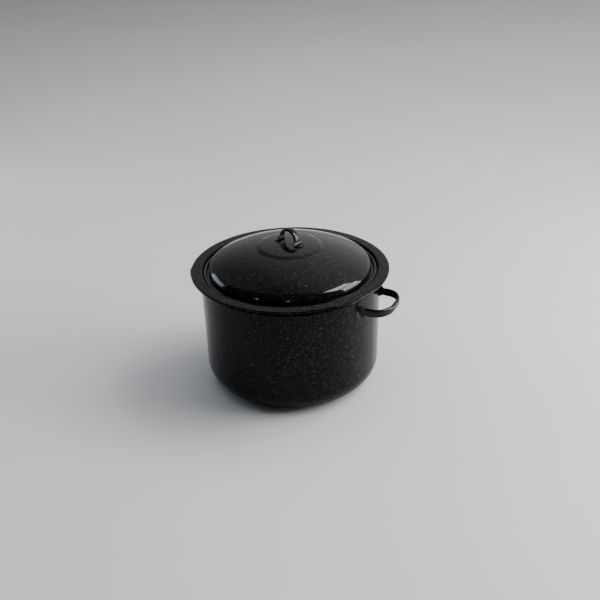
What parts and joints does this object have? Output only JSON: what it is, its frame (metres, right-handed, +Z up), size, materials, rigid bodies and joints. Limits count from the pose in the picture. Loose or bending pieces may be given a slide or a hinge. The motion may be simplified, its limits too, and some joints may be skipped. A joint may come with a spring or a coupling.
{
  "type": "stock pot",
  "caption": "Enamelled steel stock pot with a wide flat brim, loop side handles and a recessed domed lid with a strap handle.",
  "frame": {"origin": "centre of the round base, on the plane it stands on", "axes": "+Z up along the pot's axis, +X and -X towards the two side handles"},
  "size_m": [0.3914, 0.342, 0.2797],
  "materials": {
    "speckled_enamel_pot": "gloss black vitreous enamel with fine pale speckles",
    "speckled_enamel_lid": "high-gloss black vitreous enamel with fine pale speckles",
    "black_enamel_handle": "gloss plain black enamel",
    "weld_steel": "spot weld nugget, hidden in the joint"
  },
  "bodies": {
    "pot": {"pot_shell": "speckled_enamel_pot", "right_handle": "black_enamel_handle", "right_handle_welds": "weld_steel", "left_handle": "black_enamel_handle", "left_handle_welds": "weld_steel"},
    "lid": {"lid_shell": "speckled_enamel_lid", "lid_handle": "black_enamel_handle", "lid_handle_welds": "weld_steel"}
  },
  "joints": [
    {"name": "lid_lift", "type": "slide", "parent": "pot", "child": "lid", "axis": [0, 0, 1], "range_m": [0, 0.15]}
  ]
}
